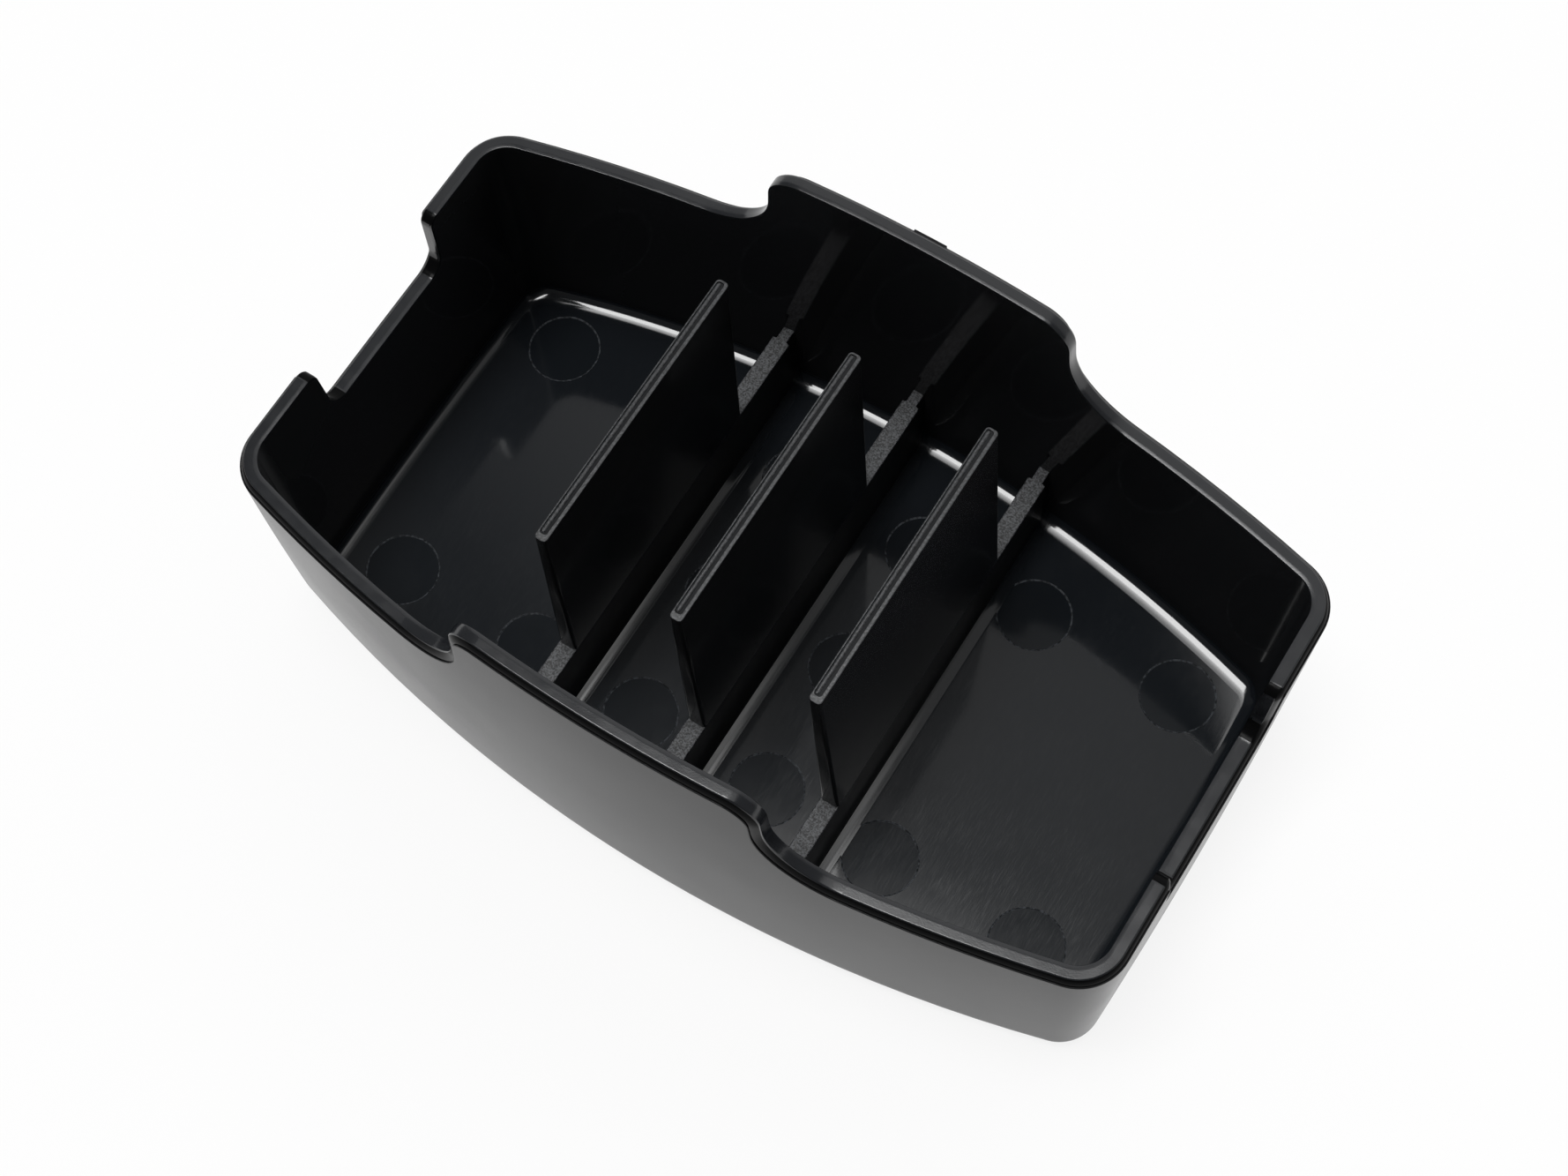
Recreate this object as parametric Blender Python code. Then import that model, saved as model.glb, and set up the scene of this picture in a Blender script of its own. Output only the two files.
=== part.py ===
# Sachet tray: a bowed open tub, three low cross ribs on its floor and a tall thin fin standing on each rib.
# Lengths are in metres. X runs along the tray, Y across it and Z up. The origin is the middle of the underside.
# Heights named "above the floor" start at the floor's upper face.
import math
from collections import namedtuple

import bmesh
import bpy

# Inside of the tub
INNER_LENGTH = 0.1426             # at the floor, along the centre line
INNER_WIDTH = 0.08306             # at the floor, across the middle
RIM_LENGTH = 0.14236              # at the rim's height, along the centre line
FLOOR_SIDE_BOW = 0.2346           # plan radius of the long walls at the floor
RIM_SIDE_BOW = 0.272              # plan radius of the long walls at the rim
FLOOR_END_BOW = 0.746             # plan radius of the end walls at the floor
RIM_END_BOW = 10.0                # plan radius of the end walls at the rim, nearly straight
FLOOR_CORNER_RADIUS = 0.0050      # plan radius of an inner corner at the floor
RIM_CORNER_RADIUS = 0.0051        # plan radius of an inner corner at the rim
SIDE_DRAFT = 0.004                # how far a long wall leans out for each unit of height, at its foot
SIDE_WARP = 0.4                   # how fast the long walls bend inwards towards the top, per metre
FILLET_REACH = 0.00302             # the oval fillet between the floor and the walls, across and up
FILLET_RISE = 0.00124

# Walls and floor
FLOOR_THICKNESS = 0.0022
RIM_WALL = 0.0029                 # wall thickness at the rim
FOOT_SIDE_WALL = 0.00314          # long wall thickness at floor level, in the middle
FOOT_END_WALL = 0.00279           # end wall thickness at floor level
FOOT_BOW_RADIUS = 0.242           # plan radius of the long walls' outer face at floor level
FOOT_CORNER_RADIUS = 0.0066       # plan radius of an outer corner at floor level
FOOT_ROUNDING = 0.0055            # between the underside and the outer face
RIM_FLAT = 0.00208                # flat part of the rim
RIM_DROP = 0.0015                 # height of the sloped outer edge of the rim

# Rim heights above the floor
RIM_HEIGHT = 0.0443
TAB_HEIGHT = 0.0633               # raised middle of each long wall
NOTCH_HEIGHT = 0.0321             # bottom of the finger notch in each end wall

# Steps in the rim: the distance from the tray's middle to the slope, the slope's angle and its two radii
TAB_REACH = 0.02526
TAB_SLOPE = math.radians(86)
TAB_TOP_RADIUS = 0.0055
TAB_FOOT_RADIUS = 0.0116
NOTCH_REACH = 0.01458
NOTCH_SLOPE = math.radians(87.5)
NOTCH_TOP_RADIUS = 0.0030
NOTCH_FOOT_RADIUS = 0.0017

# Moulding pad on the outside of the rear long wall
PAD_WIDTH = 0.0053
PAD_HEIGHT = 0.0040
PAD_PROUD = 0.0003

# Cross ribs and the fins that stand on them
RIB_SPACING = 0.0238              # between the centre lines of neighbouring ribs
RIB_HEIGHT = 0.01464              # above the floor
RIB_WIDTH = 0.0031                # at the top
RIB_DRAFT = 0.00018               # how much further each side face stands out at the floor
TONGUE_WIDTH = 0.0019             # the narrow stretch where a rib meets a long wall
TONGUE_LENGTH = 0.0024
FIN_HEIGHT = 0.05943              # top of the fins above the floor
FIN_FOOT_LENGTH = 0.0474
FIN_TOP_LENGTH = 0.0466
FIN_TOP_THICKNESS = 0.00195
FIN_LEAN = 0.0016                 # how far the outer fins' tops lean towards the middle fin
FIN_EDGE_RADIUS = 0.0006
FIN_TOP_BEVEL = 0.0002

# Round marks of the ejector pins in the floor
PIN_RADIUS = 0.006
PIN_DEPTH = 0.00015
PIN_FROM_RIB = 0.0090             # outside the outer ribs
PIN_FROM_END = 0.0125             # inside the end walls
PIN_FROM_SIDE = 0.01796           # inside the long walls, at the middle of the tray

# Clearance between the separate pieces
CLEARANCE = 0.0003

# Fineness of the curved stretches
CORNER_STEPS = 6
FILLET_STEPS = 4
STEP_ARC_STEPS = 6
WALL_LEVELS = (0.01464, 0.027)    # heights of the rows that carry the bend of the long walls
PLAIN_STEPS = 3
PIN_SIDES = 32
FIN_EDGE_STEPS = 4
FIN_TOP_STEPS = 2
MERGE_DISTANCE = 0.000001
SHARP_ANGLE = math.radians(30)

PLASTIC_COLOUR = (0.018, 0.020, 0.024, 1.0)
PLASTIC_ROUGHNESS = {"tray_body": 0.30, "rib": 0.55, "fin": 0.40}

Outline = namedtuple("Outline", "half_width half_length side_radius end_radius corner_radius")
Station = namedtuple("Station", "zone along share top slide drop")


def clear_scene():
    for item in list(bpy.data.objects):
        bpy.data.objects.remove(item, do_unlink=True)


def plastic(name, roughness):
    material = bpy.data.materials.new(name)
    material.use_nodes = True
    shader = material.node_tree.nodes["Principled BSDF"]
    shader.inputs["Base Color"].default_value = PLASTIC_COLOUR
    shader.inputs["Roughness"].default_value = roughness
    shader.inputs["Metallic"].default_value = 0.0
    return material


def add_object(name, shape, collection, material=None):
    mesh = bpy.data.meshes.new(name)
    shape.to_mesh(mesh)
    shape.free()
    item = bpy.data.objects.new(name, mesh)
    collection.objects.link(item)
    if material:
        mesh.materials.append(material)
        mesh.shade_smooth()
        mesh.set_sharp_from_angle(angle=SHARP_ANGLE)
    else:
        item.hide_render = True
        item.display_type = "WIRE"
    return item


def add_boolean(item, cutter, operation):
    modifier = item.modifiers.new(cutter.name, "BOOLEAN")
    modifier.operation = operation
    modifier.solver = "EXACT"
    modifier.object = cutter


# Plan outlines. Each long wall and each end wall is one arc, and a rounded corner joins them.

def blend(low, high, share):
    return low + (high - low) * share


def bow_radius(low, high, share):
    # The bow changes evenly from the floor's radius to the rim's.
    return 1 / blend(1 / low, 1 / high, share)


def inner_outline(height):
    share = height / RIM_HEIGHT
    return Outline(
        INNER_WIDTH / 2 + SIDE_DRAFT * height - SIDE_WARP * height ** 2,
        blend(INNER_LENGTH, RIM_LENGTH, share) / 2,
        bow_radius(FLOOR_SIDE_BOW, RIM_SIDE_BOW, share),
        bow_radius(FLOOR_END_BOW, RIM_END_BOW, min(share, 1)),
        blend(FLOOR_CORNER_RADIUS, RIM_CORNER_RADIUS, share),
    )


def outer_outline(height):
    inner = inner_outline(height)
    share = height / RIM_HEIGHT
    return Outline(
        inner.half_width + blend(FOOT_SIDE_WALL, RIM_WALL, share),
        inner.half_length + blend(FOOT_END_WALL, RIM_WALL, share),
        bow_radius(FOOT_BOW_RADIUS, RIM_SIDE_BOW + RIM_WALL, share),
        inner.end_radius + RIM_WALL,
        blend(FOOT_CORNER_RADIUS, RIM_CORNER_RADIUS + RIM_WALL, share),
    )


def inset(outline, distance):
    return Outline(*(value - distance for value in outline))


def side_y(outline, x):
    centre = outline.half_width - outline.side_radius
    return centre + math.sqrt(outline.side_radius ** 2 - x ** 2)


def end_x(outline, y):
    centre = outline.half_length - outline.end_radius
    return centre + math.sqrt(outline.end_radius ** 2 - y ** 2)


def corner_arc(outline):
    # The corner's centre is where the two wall arcs, drawn in by the corner radius, cross each other.
    side_centre_y = outline.half_width - outline.side_radius
    end_centre_x = outline.half_length - outline.end_radius
    side_reach = outline.side_radius - outline.corner_radius
    end_reach = outline.end_radius - outline.corner_radius
    gap = math.hypot(end_centre_x, side_centre_y)
    along = (side_reach ** 2 - end_reach ** 2 + gap ** 2) / (2 * gap)
    across = math.sqrt(side_reach ** 2 - along ** 2)
    toward_x = end_centre_x / gap
    toward_y = -side_centre_y / gap
    x = along * toward_x + across * toward_y
    y = side_centre_y + along * toward_y - across * toward_x
    side_angle = math.atan2(y - side_centre_y, x)
    end_angle = math.atan2(y, x - end_centre_x)
    return x, y, side_angle, end_angle


def plan_point(outline, station, slide=0.0):
    x, y, side_angle, end_angle = corner_arc(outline)
    if station.zone == "side":
        tangent = x + outline.corner_radius * math.cos(side_angle)
        along = blend(station.along + slide, tangent, station.share)
        return along, side_y(outline, along)
    if station.zone == "end":
        tangent = y + outline.corner_radius * math.sin(end_angle)
        along = blend(station.along + slide, tangent, station.share)
        return end_x(outline, along), along
    angle = blend(side_angle, end_angle, station.share)
    return x + outline.corner_radius * math.cos(angle), y + outline.corner_radius * math.sin(angle)


# Rim line of one quarter of the tray, from the middle of a long wall to the middle of an end wall

def rim_step(zone, reach, slope, high, low, top_radius, foot_radius, heading):
    # From the high side to the low side: an arc, a straight slope and an arc the other way.
    height = high - low
    shrink = min(1, height / ((top_radius + foot_radius) * (1 - math.cos(slope))))
    top_radius *= shrink
    foot_radius *= shrink
    rise = height - (top_radius + foot_radius) * (1 - math.cos(slope))
    half_run = rise / math.tan(slope) / 2
    top_end = reach - heading * (half_run + top_radius * math.sin(slope))
    foot_end = reach + heading * (half_run + foot_radius * math.sin(slope))
    stations = []
    for step in range(STEP_ARC_STEPS + 1):
        angle = slope * step / STEP_ARC_STEPS
        along = top_end + heading * top_radius * math.sin(angle)
        top = high - top_radius * (1 - math.cos(angle))
        stations.append(Station(zone, along, 0, top, -heading * math.sin(angle), math.cos(angle)))
    for step in range(STEP_ARC_STEPS, -1, -1):
        angle = slope * step / STEP_ARC_STEPS
        along = foot_end - heading * foot_radius * math.sin(angle)
        top = low + foot_radius * (1 - math.cos(angle))
        stations.append(Station(zone, along, 0, top, -heading * math.sin(angle), math.cos(angle)))
    return stations


def quarter_stations():
    tab = rim_step("side", TAB_REACH, TAB_SLOPE, TAB_HEIGHT, RIM_HEIGHT, TAB_TOP_RADIUS, TAB_FOOT_RADIUS, 1)
    notch = rim_step("end", NOTCH_REACH, NOTCH_SLOPE, RIM_HEIGHT, NOTCH_HEIGHT,
                     NOTCH_TOP_RADIUS, NOTCH_FOOT_RADIUS, -1)
    stations = []
    for step in range(PLAIN_STEPS):
        stations.append(Station("side", tab[0].along * step / PLAIN_STEPS, 0, TAB_HEIGHT, 0, 1))
    stations += tab
    for step in range(1, PLAIN_STEPS):
        stations.append(Station("side", tab[-1].along, step / PLAIN_STEPS, RIM_HEIGHT, 0, 1))
    for step in range(CORNER_STEPS + 1):
        stations.append(Station("corner", 0, step / CORNER_STEPS, RIM_HEIGHT, 0, 1))
    for step in range(PLAIN_STEPS - 1, 0, -1):
        stations.append(Station("end", notch[0].along, step / PLAIN_STEPS, RIM_HEIGHT, 0, 1))
    stations += notch
    for step in range(PLAIN_STEPS - 1, -1, -1):
        stations.append(Station("end", notch[-1].along * step / PLAIN_STEPS, 0, NOTCH_HEIGHT, 0, 1))
    return stations


# Rows of points, one for each station. Heights here are above the floor.

def level_row(stations, outline, height):
    row = []
    for station in stations:
        x, y = plan_point(outline, station)
        row.append((x, y, height + FLOOR_THICKNESS))
    return row


def rim_row(stations, share, depth):
    # A row at a share of the wall's thickness, a depth below the rim measured square to the rim line
    row = []
    for station in stations:
        height = station.top - depth * station.drop
        slide = depth * station.slide
        inner_x, inner_y = plan_point(inner_outline(height), station, slide)
        outer_x, outer_y = plan_point(outer_outline(height), station, slide)
        x = blend(inner_x, outer_x, share)
        y = blend(inner_y, outer_y, share)
        row.append((x, y, height + FLOOR_THICKNESS))
    return row


def inside_rows(stations, margin):
    # The floor's edge, its fillet and the foot of the wall, all drawn in by a margin
    rows = []
    for step in range(FILLET_STEPS + 1):
        angle = math.pi / 2 * step / FILLET_STEPS
        height = FILLET_RISE * (1 - math.cos(angle))
        distance = FILLET_REACH * (1 - math.sin(angle)) + margin
        rows.append(level_row(stations, inset(inner_outline(height), distance), height + margin))
    return rows


def outside_rows(stations):
    # The outer face's foot and its rounding, down to the edge of the underside
    rows = []
    for step in range(FILLET_STEPS + 1):
        angle = math.pi / 2 * step / FILLET_STEPS
        height = FOOT_ROUNDING * (1 - math.sin(angle)) - FLOOR_THICKNESS
        distance = FOOT_ROUNDING * (1 - math.cos(angle))
        rows.append(level_row(stations, inset(outer_outline(height), distance), height))
    return rows


def loft_quarter(rows):
    # Bridges the rows, closes the first and the last one at the centre line and mirrors the quarter twice.
    shape = bmesh.new()
    previous = None
    for row in rows:
        points = [shape.verts.new(point) for point in row]
        edges = [shape.edges.new(pair) for pair in zip(points, points[1:])]
        if previous:
            bmesh.ops.bridge_loops(shape, edges=previous + edges)
        if row is rows[0] or row is rows[-1]:
            centre = shape.verts.new((0, 0, row[0][2]))
            shape.faces.new(points + [centre])
        previous = edges
    for axis in "XY":
        everything = shape.verts[:] + shape.edges[:] + shape.faces[:]
        bmesh.ops.mirror(shape, geom=everything, axis=axis, merge_dist=MERGE_DISTANCE)
    bmesh.ops.remove_doubles(shape, verts=shape.verts[:], dist=MERGE_DISTANCE)
    bmesh.ops.recalc_face_normals(shape, faces=shape.faces[:])
    return shape


# Pieces

def tub_shape(stations):
    rows = inside_rows(stations, 0)
    for height in WALL_LEVELS:
        rows.append(level_row(stations, inner_outline(height), height))
    rows.append(rim_row(stations, 0, 0))
    rows.append(rim_row(stations, RIM_FLAT / RIM_WALL, 0))
    rows.append(rim_row(stations, 1, RIM_DROP))
    for height in reversed(WALL_LEVELS):
        rows.append(level_row(stations, outer_outline(height), height))
    rows += outside_rows(stations)
    return loft_quarter(rows)


def cavity_shape(stations):
    # The room inside the walls, a clearance smaller all round and as high as the ribs
    rows = inside_rows(stations, CLEARANCE)
    top = RIB_HEIGHT
    rows.append(level_row(stations, inset(inner_outline(top), CLEARANCE), top))
    return loft_quarter(rows)


def pin_positions():
    across = INNER_WIDTH / 2 - PIN_FROM_SIDE
    outer = INNER_LENGTH / 2 - PIN_FROM_END
    next_to_rib = RIB_SPACING + PIN_FROM_RIB
    positions = []
    for x in (RIB_SPACING / 2, next_to_rib, outer):
        rows = (-across, 0, across) if x == RIB_SPACING / 2 else (-across, across)
        for y in rows:
            positions.append((x, y))
            positions.append((-x, y))
    return positions


def pins_shape():
    shape = bmesh.new()
    for x, y in pin_positions():
        result = bmesh.ops.create_cone(shape, cap_ends=True, segments=PIN_SIDES,
                                       radius1=PIN_RADIUS, radius2=PIN_RADIUS, depth=2 * PIN_DEPTH)
        bmesh.ops.translate(shape, verts=result["verts"], vec=(x, y, FLOOR_THICKNESS))
    return shape


def pad_shape():
    # A low pad just under the sloped edge of the rear wall's raised middle, sunk into the wall
    top = TAB_HEIGHT - RIM_DROP
    face = side_y(outer_outline(top - PAD_HEIGHT), 0) + PAD_PROUD
    depth = PAD_PROUD + RIM_WALL / 2
    shape = bmesh.new()
    result = bmesh.ops.create_cube(shape, size=1)
    bmesh.ops.scale(shape, verts=result["verts"], vec=(PAD_WIDTH, depth, PAD_HEIGHT))
    middle = (0, face - depth / 2, FLOOR_THICKNESS + top - PAD_HEIGHT / 2)
    bmesh.ops.translate(shape, verts=result["verts"], vec=middle)
    return shape


def rib_shape(x):
    # A bar with a narrow tongue at each end. The tongues run past the walls, and the cavity trims them.
    shoulder = side_y(inner_outline(RIB_HEIGHT), x) - TONGUE_LENGTH
    past = INNER_WIDTH / 2 + TONGUE_LENGTH
    half = RIB_WIDTH / 2
    tongue = TONGUE_WIDTH / 2
    quarter = [(tongue, past), (tongue, shoulder), (half, shoulder)]
    right = quarter + [(a, -b) for a, b in reversed(quarter)]
    plan = right + [(-a, b) for a, b in reversed(right)]
    shape = bmesh.new()
    face = shape.faces.new([shape.verts.new((a, b, 0)) for a, b in plan])
    base = list(face.verts)
    result = bmesh.ops.extrude_face_region(shape, geom=[face])
    top = [part for part in result["geom"] if isinstance(part, bmesh.types.BMVert)]
    bmesh.ops.translate(shape, verts=top, vec=(0, 0, RIB_HEIGHT + CLEARANCE))
    for vert in base:
        vert.co.x += math.copysign(RIB_DRAFT, vert.co.x)
    bmesh.ops.recalc_face_normals(shape, faces=shape.faces[:])
    return shape


def round_edges(shape, edges, radius, steps):
    bmesh.ops.bevel(shape, geom=edges, offset=radius, segments=steps, profile=0.5, affect="EDGES")


def fin_shape(lean):
    # A tapered plate with rounded upright edges and a small bevel round its top
    height = FIN_HEIGHT - RIB_HEIGHT - CLEARANCE
    shape = bmesh.new()
    bmesh.ops.create_cube(shape, size=1)
    for vert in shape.verts:
        is_top = vert.co.z > 0
        thickness = FIN_TOP_THICKNESS if is_top else RIB_WIDTH
        length = FIN_TOP_LENGTH if is_top else FIN_FOOT_LENGTH
        shift = lean if is_top else 0
        vert.co.x = vert.co.x * thickness + shift
        vert.co.y *= length
        vert.co.z = height if is_top else 0
    upright = [edge for edge in shape.edges if abs(edge.verts[0].co.z - edge.verts[1].co.z) > height / 2]
    round_edges(shape, upright, FIN_EDGE_RADIUS, FIN_EDGE_STEPS)
    rim = [edge for edge in shape.edges if all(height - vert.co.z < MERGE_DISTANCE for vert in edge.verts)]
    round_edges(shape, rim, FIN_TOP_BEVEL, FIN_TOP_STEPS)
    return shape


def build_tray():
    clear_scene()
    scene_collection = bpy.context.scene.collection
    pieces = bpy.data.collections.new("sachet_tray")
    cutters = bpy.data.collections.new("cutters")
    scene_collection.children.link(pieces)
    scene_collection.children.link(cutters)
    stations = quarter_stations()

    pins = add_object("pin_cutter", pins_shape(), cutters)
    pad = add_object("pad_block", pad_shape(), cutters)
    cavity = add_object("cavity_guide", cavity_shape(stations), cutters)

    finish = plastic("tray_plastic", PLASTIC_ROUGHNESS["tray_body"])
    body = add_object("tray_body", tub_shape(stations), pieces, finish)
    add_boolean(body, pad, "UNION")
    add_boolean(body, pins, "DIFFERENCE")

    for name, side in (("left", -1), ("middle", 0), ("right", 1)):
        x = side * RIB_SPACING
        finish = plastic("rib_" + name + "_plastic", PLASTIC_ROUGHNESS["rib"])
        rib = add_object("rib_" + name, rib_shape(x), pieces, finish)
        rib.location = (x, 0, FLOOR_THICKNESS)
        rib.parent = body
        add_boolean(rib, cavity, "INTERSECT")
        finish = plastic("fin_" + name + "_plastic", PLASTIC_ROUGHNESS["fin"])
        fin = add_object("fin_" + name, fin_shape(-side * FIN_LEAN), pieces, finish)
        fin.location = (0, 0, RIB_HEIGHT + CLEARANCE)
        fin.parent = rib


build_tray()
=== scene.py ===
# Black moulded sachet tray: an open bowed tub with three low cross ribs, each carrying a tall thin fin.
import math
from collections import namedtuple

import bmesh
import bpy
from mathutils import Matrix, Vector


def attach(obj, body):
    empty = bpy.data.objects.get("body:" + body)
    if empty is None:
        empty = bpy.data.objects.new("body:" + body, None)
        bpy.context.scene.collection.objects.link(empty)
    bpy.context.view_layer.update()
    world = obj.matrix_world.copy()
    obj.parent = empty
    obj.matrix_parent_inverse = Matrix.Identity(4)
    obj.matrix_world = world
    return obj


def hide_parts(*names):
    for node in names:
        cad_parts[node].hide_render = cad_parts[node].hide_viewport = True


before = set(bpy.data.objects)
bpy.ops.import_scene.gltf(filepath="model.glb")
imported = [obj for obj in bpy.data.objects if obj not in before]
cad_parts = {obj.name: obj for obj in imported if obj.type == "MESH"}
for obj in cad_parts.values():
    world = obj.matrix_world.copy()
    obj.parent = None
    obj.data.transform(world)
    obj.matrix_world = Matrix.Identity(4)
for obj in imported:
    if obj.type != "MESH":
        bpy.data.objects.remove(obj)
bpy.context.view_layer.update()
print("frame loaded:", len(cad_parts), "nodes")

mm = 0.001
quarterTurn = math.pi / 2


# Camera, at the photograph's angle. Angles are in degrees, and lengths in millimetres from the middle of the
# underside.

cameraView = {
    "azimuth": 39.966,              # to the right of straight in front
    "elevation": 68.589,
    "roll": -7.803,
    "distance": 385.263,
    "target": (-9.484, 4.873, 2.2),
    "lens": 54.515,                 # on a 36 mm wide sensor
    "sensor": 36,
    "shift": (0.02183, -0.00594),   # keeps the tray where the photograph frames it
}


def addCamera():
    azimuth = math.radians(cameraView["azimuth"])
    elevation = math.radians(cameraView["elevation"])
    back = Vector((math.sin(azimuth) * math.cos(elevation), -math.cos(azimuth) * math.cos(elevation),
                   math.sin(elevation)))
    right = Vector((math.cos(azimuth), math.sin(azimuth), 0))
    turn = Matrix((right, back.cross(right), back)).transposed().to_4x4()
    place = (Vector(cameraView["target"]) + back * cameraView["distance"]) * mm
    lens = bpy.data.cameras.new("photoCamera")
    lens.sensor_fit = "HORIZONTAL"
    lens.sensor_width = cameraView["sensor"]
    lens.lens = cameraView["lens"]
    lens.shift_x, lens.shift_y = cameraView["shift"]
    lens.clip_start = 0.01
    camera = bpy.data.objects.new("photoCamera", lens)
    roll = Matrix.Rotation(math.radians(cameraView["roll"]), 4, "Z")
    camera.matrix_world = Matrix.Translation(place) @ turn @ roll
    bpy.context.scene.collection.objects.link(camera)
    bpy.context.scene.camera = camera


addCamera()
print("camera set")


# The tray's shape, in millimetres. Heights start at the upper face of the tray's floor.

tray = {
    "innerLength": 140.9,           # at the floor
    "rimLength": 142.36,            # at the rim
    "innerWidth": 83.06,
    "floorSideBow": 234.6,          # plan radius of the long walls at the floor, and at the rim
    "rimSideBow": 272,
    "floorEndBow": 746,             # the same for the end walls
    "rimEndBow": 10000,
    "floorCorner": 5.0,             # plan radius of an inner corner at the floor, and at the rim
    "rimCorner": 5.1,
    "sideDraft": 0.004,             # how far a long wall leans out at its foot for each unit of height
    "sideWarp": 0.0004,             # how fast the long walls bend inwards towards the top
    "filletReach": 3.02,            # the oval fillet between floor and long wall, and at the end walls
    "endFilletReach": 2.15,
    "filletRise": 1.24,
    "floorThickness": 2.2,
    "rimWall": 2.9,
    "footSideWall": 3.14,
    "footEndWall": 3.63,
    "footBow": 242,
    "footCorner": 6.6,
    "footRounding": 5.5,
    "rimHeight": 44.3,
    "tabHeight": 63.29,             # raised middle of each long wall
    "notchHeight": 32.1,            # finger notch in each end wall
    "tabReach": 25.26,
    "tabSlope": math.radians(86),
    "tabTopRadius": 5.5,
    "tabFootRadius": 11.6,
    "notchReach": 14.58,
    "notchSlope": math.radians(87.5),
    "notchTopRadius": 2.0,
    "notchFootRadius": 3.2,
    "wallRows": (9, 15, 21),        # heights of the plain rows of points on a wall
    "filletGap": 0.4,               # from the fillet, and from the foot's rounding, to the next row
    "footGap": 0.5,
}

rim = {                             # section of a wall's top: distance from the inner face, and depth
    "innerRadius": 0.14,
    "innerTilt": 0.06,              # the inner strip of the top face leans in by this much
    "topRows": ((0.24, 0.051), (0.48, 0.006), (0.70, 0), (1.68, 0)),
    "flat": 2.08,                   # where the polished slope begins, with a rounded edge
    "edgeRadius": 0.25,
    "slopeTop": (2.18, 0.22),
    "slope": (2.60, 1.00),          # foot of the polished slope
    "creaseTop": (2.63, 1.25),
    "crease": (2.66, 1.42),         # deepest line between the two mould halves
    "ledge": (2.74, 1.34),          # top of the outer face, with its rounded edge
    "ledgeRadius": 0.1,
    "rowGap": 0.3,                  # from a rounded edge to the next row
    "squareDepth": 2.0,             # rows deeper than this drop straight down
    "levelHeight": 27,              # below this height the rows of a wall run level
}

notchCorner = {                     # which faces of the rim are the notches' rounded corners, which get painted shade
    "fromEnd": 1,
    "beyondNotch": 4,
    "tilt": (0.06, 0.9),
}

pad = {"width": 5.3, "height": 4.0, "proud": 0.3}       # low moulding pad outside the rear wall

pins = {                            # round marks of the ejector pins in the floor
    "radius": 6.0,
    "depth": 0.13,
    "outerEdge": 0.13,              # the slanted edge starts this far outside the radius
    # the edge's further points: distance from the radius, and share of the depth
    "profile": ((0.0715, 0.12), (0, 0.5), (-0.0715, 0.88), (-0.13, 1), (-0.5, 1)),
    "levelNormal": 0.97,            # faces more level than this are the mark's floor
    "fromRib": 9.0,
    "fromEnd": 11.65,
    "fromSide": 17.96,
}

steps = {                           # how many steps a stretch takes, and the length of a plain step
    "plain": 4.0,
    "slope": 5,
    "joining": 6,
    "corner": 14,
    "fillet": 12,
    "arc": 14,
    "edge": 5,
    "easing": 8,
    "pin": 72,
    "flare": 8,
    "ribEdge": 4,
    "finEdge": 8,
    "finTop": 4,
    "bead": 6,
}

Outline = namedtuple("Outline", "halfWidth halfLength sideRadius endRadius cornerRadius")
Station = namedtuple("Station", "zone along share top slide drop")


def blend(low, high, share):
    return low + (high - low) * share


def bowRadius(low, high, share):
    # the bow changes evenly from the floor's radius to the rim's
    return 1 / blend(1 / low, 1 / high, share)


def innerOutline(height):
    share = height / tray["rimHeight"]
    return Outline(tray["innerWidth"] / 2 + tray["sideDraft"] * height - tray["sideWarp"] * height ** 2,
                   blend(tray["innerLength"], tray["rimLength"], share) / 2,
                   bowRadius(tray["floorSideBow"], tray["rimSideBow"], share),
                   bowRadius(tray["floorEndBow"], tray["rimEndBow"], min(share, 1)),
                   blend(tray["floorCorner"], tray["rimCorner"], share))


def outerOutline(height):
    inner = innerOutline(height)
    share = height / tray["rimHeight"]
    wall = tray["rimWall"]
    return Outline(inner.halfWidth + blend(tray["footSideWall"], wall, share),
                   inner.halfLength + blend(tray["footEndWall"], wall, share),
                   bowRadius(tray["footBow"], tray["rimSideBow"] + wall, share), inner.endRadius + wall,
                   blend(tray["footCorner"], tray["rimCorner"] + wall, share))


def drawnIn(outline, side, end):
    return Outline(outline.halfWidth - side, outline.halfLength - end, outline.sideRadius - side,
                   outline.endRadius - end, outline.cornerRadius - side)


def sideY(outline, x):
    return outline.halfWidth - outline.sideRadius + math.sqrt(outline.sideRadius ** 2 - x ** 2)


def endX(outline, y):
    return outline.halfLength - outline.endRadius + math.sqrt(outline.endRadius ** 2 - y ** 2)


def cornerArc(outline):
    # the corner's centre lies where the two wall arcs, drawn in by the corner radius, cross
    sideCentre = outline.halfWidth - outline.sideRadius
    endCentre = outline.halfLength - outline.endRadius
    sideReach = outline.sideRadius - outline.cornerRadius
    endReach = outline.endRadius - outline.cornerRadius
    gap = math.hypot(endCentre, sideCentre)
    along = (sideReach ** 2 - endReach ** 2 + gap ** 2) / (2 * gap)
    across = math.sqrt(sideReach ** 2 - along ** 2)
    x = (along * endCentre - across * sideCentre) / gap
    y = sideCentre - (along * sideCentre + across * endCentre) / gap
    return x, y, math.atan2(y - sideCentre, x), math.atan2(y, x - endCentre)


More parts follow.
